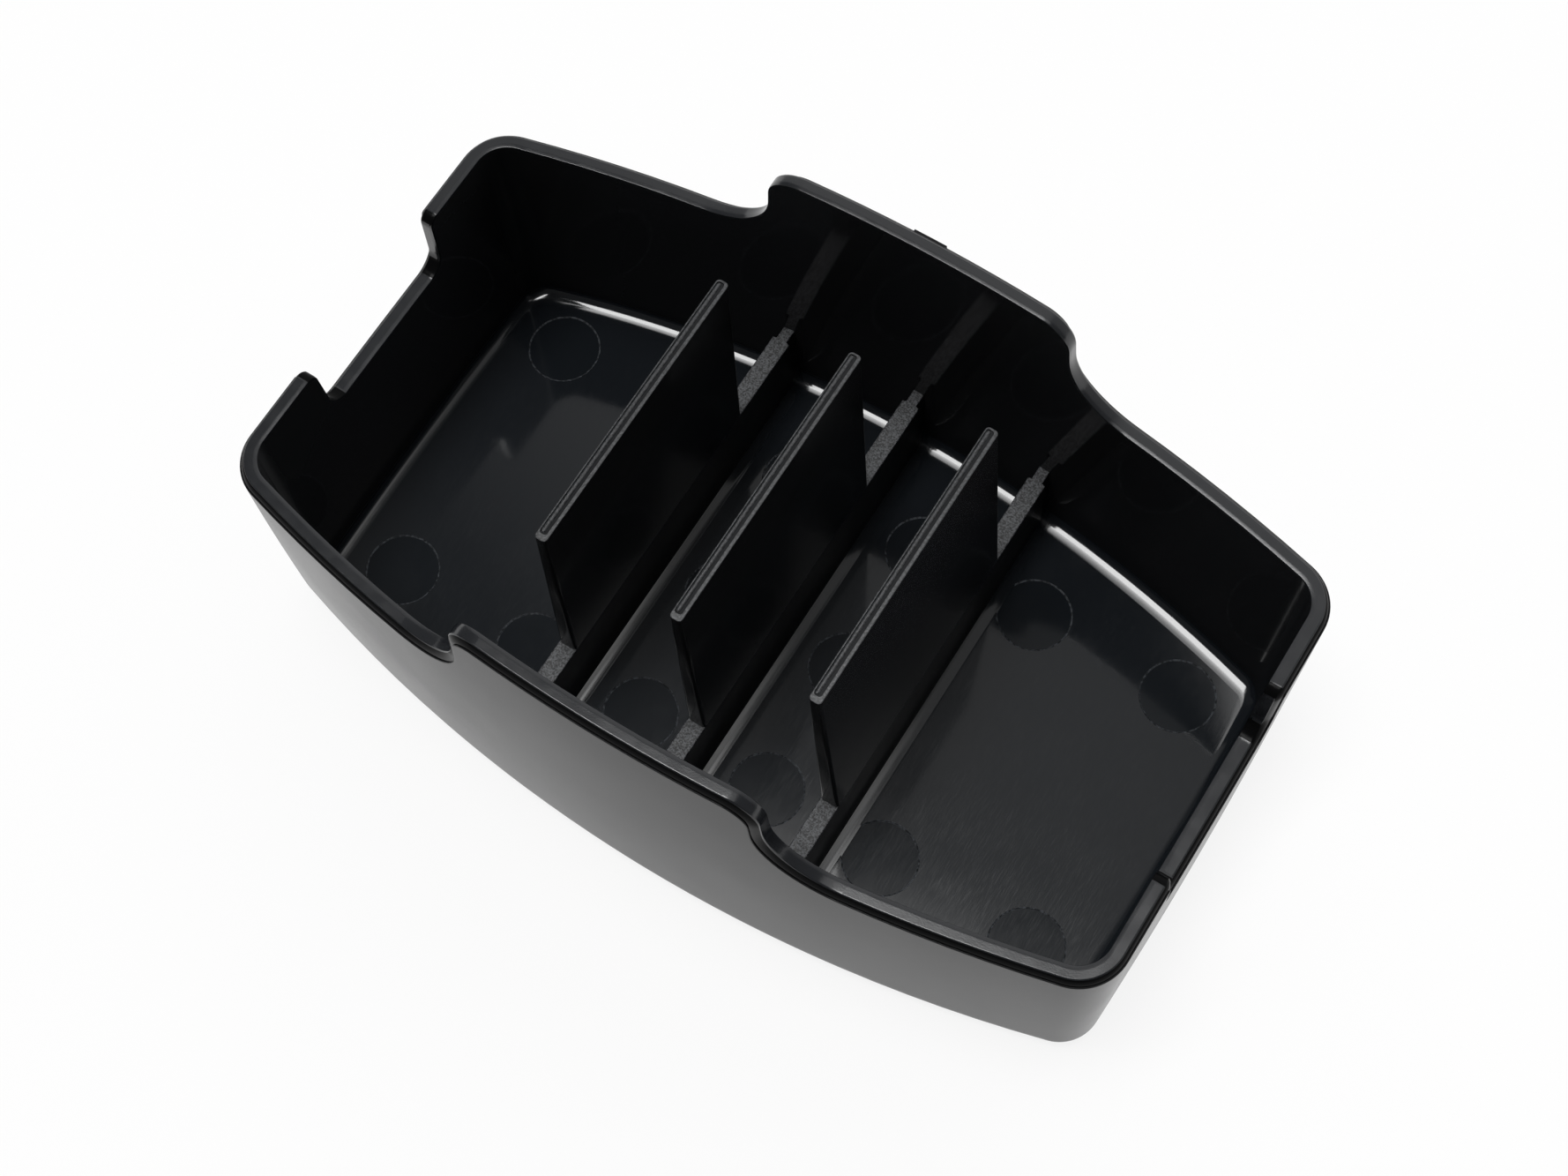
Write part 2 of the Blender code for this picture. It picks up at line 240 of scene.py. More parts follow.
def planPoint(outline, station, slide):
    x, y, sideAngle, endAngle = cornerArc(outline)
    radius = outline.cornerRadius
    if station.zone == "side":
        along = blend(station.along + slide, x + radius * math.cos(sideAngle), station.share)
        return along, sideY(outline, along)
    if station.zone == "end":
        along = blend(station.along + slide, y + radius * math.sin(endAngle), station.share)
        return endX(outline, along), along
    angle = blend(sideAngle, endAngle, station.share)
    return x + radius * math.cos(angle), y + radius * math.sin(angle)


def rimStep(zone, reach, slope, high, low, topRadius, footRadius, heading):
    # from the high side to the low side: an arc, a straight slope and an arc the other way
    height = high - low
    shrink = min(1, height / ((topRadius + footRadius) * (1 - math.cos(slope))))
    topRadius *= shrink
    footRadius *= shrink
    rise = height - (topRadius + footRadius) * (1 - math.cos(slope))
    halfRun = rise / math.tan(slope) / 2
    topEnd = reach - heading * (halfRun + topRadius * math.sin(slope))
    footEnd = reach + heading * (halfRun + footRadius * math.sin(slope))
    topArc = []
    footArc = []
    for step in range(steps["arc"] + 1):
        angle = slope * step / steps["arc"]
        slide = -heading * math.sin(angle)
        drop = math.cos(angle)
        topArc.append(Station(zone, topEnd + heading * topRadius * math.sin(angle), 0,
                              high - topRadius * (1 - drop), slide, drop))
        footArc.append(Station(zone, footEnd - heading * footRadius * math.sin(angle), 0,
                               low + footRadius * (1 - drop), slide, drop))
    footArc.reverse()
    straight = []
    for step in range(1, steps["slope"]):
        share = step / steps["slope"]
        straight.append(topArc[-1]._replace(along=blend(topArc[-1].along, footArc[0].along, share),
                                            top=blend(topArc[-1].top, footArc[0].top, share)))
    return topArc + straight + footArc


def spaced(low, high):
    # places from low to high, about a plain step apart, without the last one
    count = max(2, round(abs(high - low) / steps["plain"]))
    return [blend(low, high, step / count) for step in range(count)]


def quarterStations():
    # from the middle of a long wall, round the corner, to the middle of an end wall
    tab = rimStep("side", tray["tabReach"], tray["tabSlope"], tray["tabHeight"], tray["rimHeight"],
                  tray["tabTopRadius"], tray["tabFootRadius"], 1)
    notch = rimStep("end", tray["notchReach"], tray["notchSlope"], tray["rimHeight"], tray["notchHeight"],
                    tray["notchTopRadius"], tray["notchFootRadius"], -1)
    stations = []
    for along in [0] + spaced(pad["width"] / 2, tab[0].along):
        stations.append(Station("side", along, 0, tray["tabHeight"], 0, 1))
    stations += tab
    joining = [step / steps["joining"] for step in range(1, steps["joining"])]
    for share in joining:
        stations.append(Station("side", tab[-1].along, share, tray["rimHeight"], 0, 1))
    for step in range(steps["corner"] + 1):
        stations.append(Station("corner", 0, step / steps["corner"], tray["rimHeight"], 0, 1))
    for share in reversed(joining):
        stations.append(Station("end", notch[0].along, share, tray["rimHeight"], 0, 1))
    stations += notch
    for along in reversed(spaced(0, notch[-1].along)):
        stations.append(Station("end", along, 0, tray["notchHeight"], 0, 1))
    return stations


def levelRow(stations, outline, height):
    return [(*planPoint(outline, station, 0), height) for station in stations]


def rimRow(stations, offset, depth, share=1):
    # offset from the inner face and depth below the rim line, measured square to it;
    # a share below 1 lowers the row towards the level rows
    row = []
    square = min(depth, rim["squareDepth"])
    for station in stations:
        height = station.top - square * station.drop - (depth - square)
        height = blend(rim["levelHeight"], height, share)
        slide = square * station.slide * share
        inner = Vector(planPoint(innerOutline(height), station, slide))
        outer = Vector(planPoint(outerOutline(height), station, slide))
        place = inner.lerp(outer, offset / tray["rimWall"])
        row.append((*place, height))
    return row


def arcSteps(count):
    return [quarterTurn * step / count for step in range(count + 1)]


def insideRows(stations):
    # (region, row) from the floor's edge up to the rim
    rows = []
    for angle in arcSteps(steps["fillet"]):
        height = tray["filletRise"] * (1 - math.cos(angle))
        share = 1 - math.sin(angle)
        outline = drawnIn(innerOutline(height), tray["filletReach"] * share,
                          tray["endFilletReach"] * share)
        rows.append(("floor", levelRow(stations, outline, height)))
    for height in (tray["filletRise"] + tray["filletGap"], *tray["wallRows"], rim["levelHeight"]):
        rows.append(("wall", levelRow(stations, innerOutline(height), height)))
    depth = rim["innerRadius"] + rim["innerTilt"] + rim["rowGap"]
    for step in range(1, steps["easing"] + 1):
        rows.append(("wall", rimRow(stations, 0, depth, step / steps["easing"])))
    return rows


def rimRows(stations):
    # (region, row) over the rim, from its inner radius to the rounded top of the outer face
    rows = []
    radius = rim["innerRadius"]
    for angle in arcSteps(steps["edge"]):
        depth = rim["innerTilt"] + radius * (1 - math.sin(angle))
        rows.append(("rim", rimRow(stations, radius * (1 - math.cos(angle)), depth)))
    for offset, depth in rim["topRows"]:
        rows.append(("rim", rimRow(stations, offset, depth)))
    slopeFoot, slopeDepth = rim["slope"]
    tilt = math.atan2(slopeDepth, slopeFoot - rim["flat"])
    radius = rim["edgeRadius"]
    for step in range(steps["edge"] + 1):
        angle = tilt * step / steps["edge"]
        offset = rim["flat"] - radius * (1 - math.sin(angle))
        rows.append(("rim", rimRow(stations, offset, radius * (1 - math.cos(angle)))))
    # the polished band below the rim gets painted shade: a darker, almost unreflective plastic
    for offset, depth in (rim["slopeTop"], rim["slope"], rim["creaseTop"], rim["crease"]):
        rows.append(("band", rimRow(stations, offset, depth)))
    ledge, ledgeDepth = rim["ledge"]
    rows.append(("outside", rimRow(stations, ledge, ledgeDepth)))
    radius = rim["ledgeRadius"]
    for angle in arcSteps(steps["edge"]):
        offset = tray["rimWall"] - radius * (1 - math.sin(angle))
        rows.append(("outside", rimRow(stations, offset, ledgeDepth + radius * (1 - math.cos(angle)))))
    return rows


def outsideRows(stations):
    # (region, row) down the outer face and round the foot
    top = rim["ledge"][1] + rim["ledgeRadius"]
    rows = [("outside", rimRow(stations, tray["rimWall"], top + rim["rowGap"]))]
    for step in range(steps["easing"], 0, -1):
        row = rimRow(stations, tray["rimWall"], top + pad["height"], step / steps["easing"])
        rows.append(("outside", row))
    foot = tray["footRounding"] - tray["floorThickness"]
    for height in (rim["levelHeight"], *reversed(tray["wallRows"]), foot + tray["footGap"]):
        rows.append(("outside", levelRow(stations, outerOutline(height), height)))
    for angle in arcSteps(steps["fillet"]):
        height = foot - tray["footRounding"] * math.sin(angle)
        inset = tray["footRounding"] * (1 - math.cos(angle))
        outline = drawnIn(outerOutline(height), inset, inset)
        rows.append(("outside", levelRow(stations, outline, height)))
    return rows


regions = ["floor", "wall", "rim", "band", "outside", "pin", "pinEdge"]


def loft(shape, rows):
    previous = None
    for region, row in rows:
        points = [shape.verts.new(point) for point in row]
        edges = [shape.edges.new(pair) for pair in zip(points, points[1:])]
        if previous:
            made = bmesh.ops.bridge_loops(shape, edges=previous + edges)
            for face in made["faces"]:
                face.material_index = regions.index(region)
        previous = edges


def mirrorOver(shape, axis):
    everything = shape.verts[:] + shape.edges[:] + shape.faces[:]
    bmesh.ops.mirror(shape, geom=everything, axis=axis, merge_dist=0.0001)
    bmesh.ops.remove_doubles(shape, verts=shape.verts[:], dist=0.0001)


def shadeNotchCorners(shape):
    # the rounded corners of the finger notches take the band's darker, almost unreflective plastic: painted
    # shade that hides their highlight
    low, high = notchCorner["tilt"]
    for face in shape.faces:
        middle = face.calc_center_median()
        atEnd = abs(middle.x) > tray["rimLength"] / 2 - notchCorner["fromEnd"]
        if atEnd and abs(middle.y) < tray["notchReach"] + notchCorner["beyondNotch"]:
            face.normal_update()
            if face.material_index == regions.index("rim") and low < abs(face.normal.y) < high:
                face.material_index = regions.index("band")


def pinPlaces():
    across = tray["innerWidth"] / 2 - pins["fromSide"]
    outer = tray["innerLength"] / 2 - pins["fromEnd"]
    places = []
    for x, ys in ((rib["spacing"] / 2, (-across, 0, across)),
                  (rib["spacing"] + pins["fromRib"], (-across, across)),
                  (outer, (-across, across))):
        for y in ys:
            places += [(x, y), (-x, y)]
    return places


def sinkPin(shape, x, y):
    # a shallow round recess with a slanted side, worked inwards from its outer circle
    made = bmesh.ops.create_circle(shape, segments=steps["pin"], radius=pins["radius"] + pins["outerEdge"],
                                   matrix=Matrix.Translation((x, y, 0)))
    border = list(dict.fromkeys(edge for vert in made["verts"] for edge in vert.link_edges))
    ring = border
    for offset, share in pins["profile"]:
        grown = bmesh.ops.extrude_edge_only(shape, edges=ring)["geom"]
        verts = [item for item in grown if isinstance(item, bmesh.types.BMVert)]
        edges = [item for item in grown if isinstance(item, bmesh.types.BMEdge)]
        ring = [edge for edge in edges if all(vert in verts for vert in edge.verts)]
        for vert in verts:
            level = Vector((vert.co.x - x, vert.co.y - y)).normalized() * (pins["radius"] + offset)
            vert.co = (x + level.x, y + level.y, -pins["depth"] * share)
    bmesh.ops.contextual_create(shape, geom=ring)
    return border


def closeFloor(shape):
    # one face closes the underside, and the floor is filled round the sunk pin marks
    openEdges = [edge for edge in shape.edges if edge.is_boundary]
    halfway = -tray["floorThickness"] / 2
    floorEdge = [edge for edge in openEdges if edge.verts[0].co.z > halfway]
    underside = [edge for edge in openEdges if edge.verts[0].co.z < halfway]
    made = bmesh.ops.contextual_create(shape, geom=underside)
    for face in made["faces"]:
        face.material_index = regions.index("outside")
    walls = set(shape.faces)
    borders = []
    for x, y in pinPlaces():
        borders += sinkPin(shape, x, y)
    for face in shape.faces:
        if face not in walls:
            face.normal_update()
            isLevel = abs(face.normal.z) > pins["levelNormal"]
            # the slanted faces get the pin edge plastic, whose raised colour is a painted highlight
            face.material_index = regions.index("pin" if isLevel else "pinEdge")
    known = set(shape.faces)
    bmesh.ops.triangle_fill(shape, use_beauty=True, edges=floorEdge + borders, normal=(0, 0, 1))
    for face in shape.faces:
        if face not in known:
            face.material_index = regions.index("floor")


def raisePad(shape):
    # the pad's patch of the rear wall's outer face stands a little proud
    top = tray["tabHeight"] - rim["ledge"][1] - rim["ledgeRadius"]
    chosen = []
    for face in shape.faces:
        middle = face.calc_center_median()
        if abs(middle.x) < pad["width"] / 2 and middle.y > tray["innerWidth"] / 2 - 1:
            if top - pad["height"] < middle.z < top and face.normal.y > 0.9:
                chosen.append(face)
    grown = bmesh.ops.extrude_face_region(shape, geom=chosen)
    verts = [item for item in grown["geom"] if isinstance(item, bmesh.types.BMVert)]
    bmesh.ops.delete(shape, geom=chosen, context="FACES")
    bmesh.ops.translate(shape, verts=verts, vec=(0, pad["proud"], 0))


def finishShape(name, shape, materials, sharpAngle=32):
    # millimetres above the tray's floor become metres above the underside
    bmesh.ops.translate(shape, verts=shape.verts[:], vec=(0, 0, tray["floorThickness"]))
    bmesh.ops.scale(shape, verts=shape.verts[:], vec=(mm, mm, mm))
    mesh = bpy.data.meshes.new(name)
    shape.to_mesh(mesh)
    shape.free()
    for material in materials:
        mesh.materials.append(material)
    mesh.shade_smooth()
    mesh.set_sharp_from_angle(angle=math.radians(sharpAngle))
    for polygon in mesh.polygons:
        # level faces keep exactly level reflections
        polygon.use_smooth = abs(polygon.normal.z) < 0.99999
    piece = bpy.data.objects.new(name, mesh)
    bpy.context.scene.collection.objects.link(piece)
    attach(piece, "root")
    return piece


def addTrayShell(materials):
    shape = bmesh.new()
    stations = quarterStations()
    loft(shape, insideRows(stations) + rimRows(stations) + outsideRows(stations))
    mirrorOver(shape, "X")
    mirrorOver(shape, "Y")
    # painted shade on the notches' rounded corners
    shadeNotchCorners(shape)
    closeFloor(shape)
    bmesh.ops.recalc_face_normals(shape, faces=shape.faces[:])
    raisePad(shape)
    piece = finishShape("trayShell", shape, materials)
    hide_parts("tray_body")
    return piece


# Cross ribs and fins

rib = {
    "spacing": 23.8,
    "height": 14.64,
    "width": 3.1,
    "draft": 0.18,
    "tongueWidth": 1.9,
    "tongueLength": 2.4,
    "footReach": 2.0,               # the shallow flare at the foot
    "footRise": 0.29,
    "edgeRadius": 0.18,
    "rowGap": 0.2,                  # from the flare or the rounded edge to the next row
    "topGap": 0.1,
    # distance from the tongue's shoulder, added half width, and share of the flare
    "shoulderRows": ((-2.5, 0, 1), (-1.2, 0, 0.7), (-0.4, 0, 0.4), (-0.08, 0, 0.3), (0.08, 0.02, 0.25),
                     (0.3, 0, 0.2)),
    "lastRow": (1.6, 0.1),          # distance past the wall's face, share of the flare
    "intoWall": 0.4,
    "wallSlope": 0.002,
    "sunk": 0.02,                   # a hair into the floor
}


def ribSection(half, footShare):
    # half a section, from the floor to the middle of the top: (x, z)
    reach = rib["footReach"] * footShare
    rise = rib["footRise"] * footShare
    edge = rib["edgeRadius"]
    top = rib["height"]
    points = []
    for step in range(steps["flare"] + 1):
        share = step / steps["flare"]
        points.append((half + rib["draft"] + reach * (1 - share), rise * share ** 2))
    for height in (rise + rib["rowGap"], top - edge - rib["rowGap"]):
        points.append((half + rib["draft"] * (1 - height / top), height))
    for angle in arcSteps(steps["ribEdge"]):
        points.append((half - edge * (1 - math.cos(angle)), top - edge * (1 - math.sin(angle))))
    points.append((half - edge - rib["topGap"], top))
    return points


def ribRows(x):
    # places along the rib: distance from its middle, half its width there, and share of the flare
    wall = sideY(innerOutline(rib["height"]), x)
    shoulder = wall - rib["tongueLength"]
    wide = rib["width"] / 2
    slim = rib["tongueWidth"] / 2
    rows = [(0, wide, 1)]
    for along, added, share in rib["shoulderRows"]:
        rows.append((shoulder + along, (wide if along < 0 else slim) + added, share))
    past, share = rib["lastRow"]
    rows.append((wall + past, slim, share))
    return rows


def addRib(name, x, materials):
    shape = bmesh.new()
    previous = None
    for y, half, footShare in ribRows(x):
        right = [(a, y, b) for a, b in ribSection(half, footShare)]
        section = right + [(-a, b, c) for a, b, c in reversed(right)]
        points = [shape.verts.new(point) for point in section]
        edges = [shape.edges.new(pair) for pair in zip(points, points[1:] + points[:1])]
        if previous:
            bmesh.ops.bridge_loops(shape, edges=previous + edges)
        previous = edges
    mirrorOver(shape, "Y")
    # trimmed just inside the walls, where the wall's own surface takes over
    for side in (1, -1):
        cut = (0, side * (sideY(innerOutline(0), x) + rib["intoWall"]), 0)
        everything = shape.verts[:] + shape.edges[:] + shape.faces[:]
        bmesh.ops.bisect_plane(shape, geom=everything, plane_co=cut, plane_no=(0, side, rib["wallSlope"]),
                               clear_outer=True)
    # the foot is sunk into the floor, and both ends are closed
    for vert in shape.verts:
        if vert.co.z < 0.0001:
            vert.co.z = -rib["sunk"]
    bmesh.ops.holes_fill(shape, edges=shape.edges[:])
    bmesh.ops.recalc_face_normals(shape, faces=shape.faces[:])
    for face in shape.faces:
        middle = face.calc_center_median().z
        isTop = middle > rib["height"] - rib["edgeRadius"]
        face.material_index = 1 if isTop else 2 if middle < rib["footRise"] else 0
    bmesh.ops.translate(shape, verts=shape.verts[:], vec=(x, 0, 0))
    piece = finishShape(name, shape, materials)
    return piece


fin = {
    "height": 59.43,
    "footLength": 47.4,
    "topLength": 46.6,
    "topThickness": 1.95,
    "lean": 1.6,                    # how far the outer fins' tops lean towards the middle one
    "sunk": 0.02,                   # a hair into the rib's top
    "edgeRadius": 0.62,
    "topRadius": 0.1,
    "grooveLeft": 0.19,             # borders of the moulded groove in the top
    "grooveRight": 0.5,
    "grooveNear": 0.95,
    "grooveFar": 0.3,
    "grooveDepth": 0.3,
    # insets at the left, near, right and far border, and share of the depth
    "grooveRings": ((0, 0, 0, 0, 0), (0.04, 0.04, 0.04, 0.04, 0.1333), (0.05, 0.08, 0.1, 0.08, 1)),
    "beadFoot": (0.06, 0.2, 0.1),   # insets of the bead's foot at the left, near and far border
    "beadWidth": 0.75,
    "beadHeight": 0.24,
    "shadedRings": (2, 3),          # the groove's side and floor, which get the fin faces' darker plastic: painted shade in the groove
}


def roundEdges(shape, edges, radius, segments):
    bmesh.ops.bevel(shape, geom=edges, offset=radius, segments=segments, profile=0.5, affect="EDGES",
                    material=-1)


def placeRing(verts, low, high, height):
    # stretches a ring of vertices to fill a rectangle from low to high
    for axis in (0, 1):
        start = min(vert.co[axis] for vert in verts)
        length = max(vert.co[axis] for vert in verts) - start
        for vert in verts:
            vert.co[axis] = blend(low[axis], high[axis], (vert.co[axis] - start) / length)
    for vert in verts:
        vert.co.z = height


def grooveRings():
    # (low corner, high corner, level) of each ring, from the groove's border to the crest of its bead
    left = -fin["topThickness"] / 2 + fin["grooveLeft"]
    right = fin["topThickness"] / 2 - fin["grooveRight"]
    near = -fin["topLength"] / 2 + fin["grooveNear"]
    far = fin["topLength"] / 2 - fin["grooveFar"]
    rings = []
    for atLeft, atNear, atRight, atFar, share in fin["grooveRings"]:
        rings.append(((left + atLeft, near + atNear), (right - atRight, far - atFar),
                      -fin["grooveDepth"] * share))
    atLeft, atNear, atFar = fin["beadFoot"]
    for step in range(steps["bead"]):
        angle = quarterTurn * step / steps["bead"]
        inset = (1 - math.cos(angle)) * fin["beadWidth"] / 2
        rings.append(((left + atLeft + inset, near + atNear + inset),
                      (left + fin["beadWidth"] - inset, far - atFar - inset),
                      fin["beadHeight"] * math.sin(angle) - fin["grooveDepth"]))
    return rings


def addFin(name, x, lean, materials):
    shape = bmesh.new()
    bottom = rib["height"] - fin["sunk"]
    height = fin["height"]
    bmesh.ops.create_cube(shape, size=1)
    for vert in shape.verts:
        isTop = vert.co.z > 0
        thickness = fin["topThickness"] if isTop else rib["width"]
        length = fin["topLength"] if isTop else fin["footLength"]
        vert.co = (vert.co.x * thickness, vert.co.y * length, height if isTop else bottom)
    upright = [edge for edge in shape.edges if abs(edge.verts[0].co.z - edge.verts[1].co.z) > height / 2]
    roundEdges(shape, upright, fin["edgeRadius"], steps["finEdge"])
    top = max(shape.faces, key=lambda face: face.calc_center_median().z)
    roundEdges(shape, top.edges[:], fin["topRadius"], steps["finTop"])
    top = max(shape.faces, key=lambda face: face.calc_center_median().z)
    for face in shape.faces:
        isTop = face.calc_center_median().z > height - fin["topRadius"] - 0.01
        face.material_index = 1 if isTop else 0
    for count, (low, high, level) in enumerate(grooveRings()):
        made = bmesh.ops.inset_region(shape, faces=[top], thickness=0.01, depth=0, use_even_offset=True)
        placeRing(top.verts, low, high, height + level)
        for face in made["faces"]:
            # the groove's side and floor take the darker plastic as painted shade
            face.material_index = 0 if count in fin["shadedRings"] else 1
    for vert in shape.verts:
        vert.co.x += lean * (vert.co.z - bottom) / (height - bottom)
    bmesh.ops.recalc_face_normals(shape, faces=shape.faces[:])
    bmesh.ops.translate(shape, verts=shape.verts[:], vec=(x, 0, 0))
    piece = finishShape(name, shape, materials)
    return piece


# Finishes. Every pattern reads the piece's own coordinates, in metres.

finishes = {
    "polishedWall": {"colour": (0.0215, 0.0222, 0.0238), "roughness": (0.05, 0.08), "patch": 14,
                     "shine": 0.14},
    "scuffedFloor": {"colour": (0.0088, 0.0106, 0.0130), "roughness": (0.05, 0.08), "patch": 9},
    "satinRim": {"colour": (0.0150, 0.0162, 0.0185), "roughness": (0.15, 0.21), "patch": 2.5},
    # the band below the rim: a darker, almost unreflective copy of the rim plastic, painted shade that keeps
    # the band black
    "shadedRimBand": {"colour": (0.0035, 0.0036, 0.0038), "roughness": (0.18, 0.26), "patch": 3, "shine": 0.03},
    "satinOutside": {"colour": (0.0150, 0.0152, 0.0158), "roughness": (0.18, 0.22), "patch": 20,
                     "shine": 0.05},
    "pinFace": {"colour": (0.0080, 0.0098, 0.0120), "roughness": (0.07, 0.10), "patch": 5, "shine": 0.24},
    # the pin marks' slanted edges: colour raised well above the floor's, a painted highlight that draws
    # their light ring line
    "pinEdgeGrainAndGlint": {"colour": (0.0340, 0.0370, 0.0410), "roughness": (0.50, 0.70), "patch": 0.8,
                    "shine": 0.1},
    "ribSide": {"colour": (0.0360, 0.0368, 0.0385), "roughness": (0.34, 0.42), "patch": 6, "shine": 0.15},
    "sparkGrain": {"colour": (0.0430, 0.0450, 0.0480), "roughness": (0.50, 0.62), "patch": 1.2},
    "finFace": {"colour": (0.0140, 0.0146, 0.0158), "roughness": (0.16, 0.22), "patch": 10, "shine": 0.16},
    "finTop": {"colour": (0.0330, 0.0345, 0.0370), "roughness": (0.28, 0.36), "patch": 1.0},
}

grains = {                          # size and height of the fine grain, in millimetres
    "satinRim": (0.25, 0.006),
    "satinOutside": (0.12, 0.004),
    "finFace": (0.5, 0.0006),
    "ribSide": (0.3, 0.004),
    "polishedWall": (1.2, 0.0006),
}

eroded = {                          # spark-eroded tops: grain size and height, and how far the colour is scaled down in the pits and up on the crests (painted shade and painted highlight)
    "sparkGrain": {"size": 0.27, "height": 0.07, "dark": 0.20, "light": 2.00},
    "finTop": {"size": 0.34, "height": 0.03, "dark": 0.55, "light": 1.60},
    "pinEdgeGrainAndGlint": {"size": 0.50, "height": 0.02, "dark": 0.35, "light": 1.80},
}
erodedLevel = (0.38, 0.62)          # noise from the darkest pits to the lightest crests

scratches = {                       # faint wiping marks on the floor
    "angles": (12, 57, 101, 148),
    "spacing": 0.12,
    "length": 3.5,
    "level": (0.56, 0.76),          # only the crests of the streaky noise become marks
    "roughness": 0.07,
    "depth": 0.0002,
    "finishes": ("scuffedFloor", "pinFace"),
}


def newMaterial(name, colour, roughness):
    material = bpy.data.materials.new(name)
    material.use_nodes = True
    shader = material.node_tree.nodes["Principled BSDF"]
    shader.inputs["Base Color"].default_value = (*colour, 1)
    shader.inputs["Roughness"].default_value = roughness
    shader.inputs["IOR"].default_value = 1.5
    return material, shader


def addNode(tree, kind, **values):
    node = tree.nodes.new(kind)
    for name, value in values.items():
        if hasattr(node, name):
            setattr(node, name, value)
        else:
            node.inputs[name.replace("_", " ")].default_value = value
    return node


def addMath(tree, operation, first, second):
    node = addNode(tree, "ShaderNodeMath", operation=operation)
    tree.links.new(first, node.inputs[0])
    tree.links.new(second, node.inputs[1])
    return node.outputs["Value"]


def noise(tree, size, detail=3):
    # noise with features of about the given size in millimetres
    place = addNode(tree, "ShaderNodeTexCoord")
    texture = addNode(tree, "ShaderNodeTexNoise", Scale=1 / (size * mm), Detail=detail)
    tree.links.new(place.outputs["Object"], texture.inputs["Vector"])
    return texture.outputs["Fac"]


def spread(tree, source, low, high, fromLow=0.3, fromHigh=0.7):
    node = addNode(tree, "ShaderNodeMapRange", From_Min=fromLow, From_Max=fromHigh, To_Min=low,
                   To_Max=high)
    tree.links.new(source, node.inputs["Value"])
    return node.outputs["Result"]


def bump(tree, shader, height, distance):
    node = addNode(tree, "ShaderNodeBump", Distance=distance * mm, Strength=1)
    tree.links.new(height, node.inputs["Height"])
    tree.links.new(node.outputs["Normal"], shader.inputs["Normal"])


def addScratches(tree):
    # crests of stretched noise in several directions
    total = None
    streak = (1 / (scratches["spacing"] * mm), 1 / (scratches["length"] * mm), 1)
    for angle in scratches["angles"]:
        place = addNode(tree, "ShaderNodeTexCoord")
        mapping = addNode(tree, "ShaderNodeMapping", Rotation=(0, 0, math.radians(angle)), Scale=streak)
        texture = addNode(tree, "ShaderNodeTexNoise", Scale=1, Detail=1)
        tree.links.new(place.outputs["Object"], mapping.inputs["Vector"])
        tree.links.new(mapping.outputs["Vector"], texture.inputs["Vector"])
        marks = spread(tree, texture.outputs["Fac"], 0, 1, *scratches["level"])
        total = addMath(tree, "MAXIMUM", total, marks) if total else marks
    return total


def erode(tree, shader, colour, grain):
    # the pits are low, the crests high, and the colour follows the height: painted shade in the pits and a
    # painted highlight on the crests
    crests = noise(tree, grain["size"], detail=1.5)
    bump(tree, shader, crests, grain["height"])
    tint = addNode(tree, "ShaderNodeVectorMath", operation="SCALE")
    tint.inputs[0].default_value = colour
    tree.links.new(spread(tree, crests, grain["dark"], grain["light"], *erodedLevel), tint.inputs["Scale"])
    tree.links.new(tint.outputs["Vector"], shader.inputs["Base Color"])


def plastic(name):
    finish = finishes[name]
    low, high = finish["roughness"]
    material, shader = newMaterial(name, finish["colour"], low)
    tree = material.node_tree
    roughness = spread(tree, noise(tree, finish["patch"]), low, high)
    if "shine" in finish:
        shader.inputs["Specular IOR Level"].default_value = finish["shine"]
    if name in grains:
        size, depth = grains[name]
        bump(tree, shader, noise(tree, size, detail=2), depth)
    if name in eroded:
        erode(tree, shader, finish["colour"], eroded[name])
    if name in scratches["finishes"]:
        marks = addScratches(tree)
        roughness = addMath(tree, "ADD", roughness, spread(tree, marks, 0, scratches["roughness"], 0, 1))
        bump(tree, shader, marks, scratches["depth"])
    tree.links.new(roughness, shader.inputs["Roughness"])
    return material


surfaces = {name: plastic(name) for name in finishes}
print("finishes made:", len(surfaces))

addTrayShell([surfaces[name] for name in ("scuffedFloor", "polishedWall", "satinRim", "shadedRimBand",
                                          "satinOutside", "pinFace", "pinEdgeGrainAndGlint")])
print("tray shell made")

for side, word in ((-1, "Left"), (0, "Middle"), (1, "Right")):
    place = side * rib["spacing"]
    piece = addRib("crossRib" + word, place,
                   [surfaces[name] for name in ("ribSide", "sparkGrain", "scuffedFloor")])
    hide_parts("rib_" + word.lower())
    piece = addFin("tallFin" + word, place, -side * fin["lean"], [surfaces["finFace"], surfaces["finTop"]])
    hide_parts("fin_" + word.lower())
print("ribs and fins made")


# Studio: a pale floor and, in the world, a dim room with a large softbox overhead and its soft edge on the
# right. The world's values are radiances, and its places are direction cosines.

studio = {
    "floorSize": 6.0,
    "floorColour": (0.97, 0.97, 0.97),
    "backdropShare": 0.86,          # share of the floor's white that holds in the tray's shadow too
    "near": 0.12,                   # radiance of the room on the near side
    "far": 0.52,                    # and on the far side
    "farDirection": (0.3, 1.0, 0.0),
    "farReach": (0.10, 0.22),       # where the change from near to far begins and ends
    "farther": 0.5,                 # added light low on the far side
    "fartherReach": (0.36, 0.43),
    "rightEnd": (0.26, 0.44),       # where the room turns dark on the right, and by how much
    "rightShare": 0.2,
    "softboxRise": (0.5, 0.6),      # how high above the horizon a softbox begins
}

softboxes = [                       # radiance, and where each starts, is full, fades and ends both ways
    {"level": 17.5, "reaches": (((1, -0.37, 0), (-0.30, -0.24, 0.00, 0.10)),
                                ((0, 1, 0), (-0.25, -0.21, 0.02, 0.23)))},
    {"level": 1.5, "reaches": (((1, 0, 0), (0.08, 0.20, 0.36, 0.45)),
                               ((0, 1, 0), (0.10, 0.16, 0.19, 0.28)))},
]


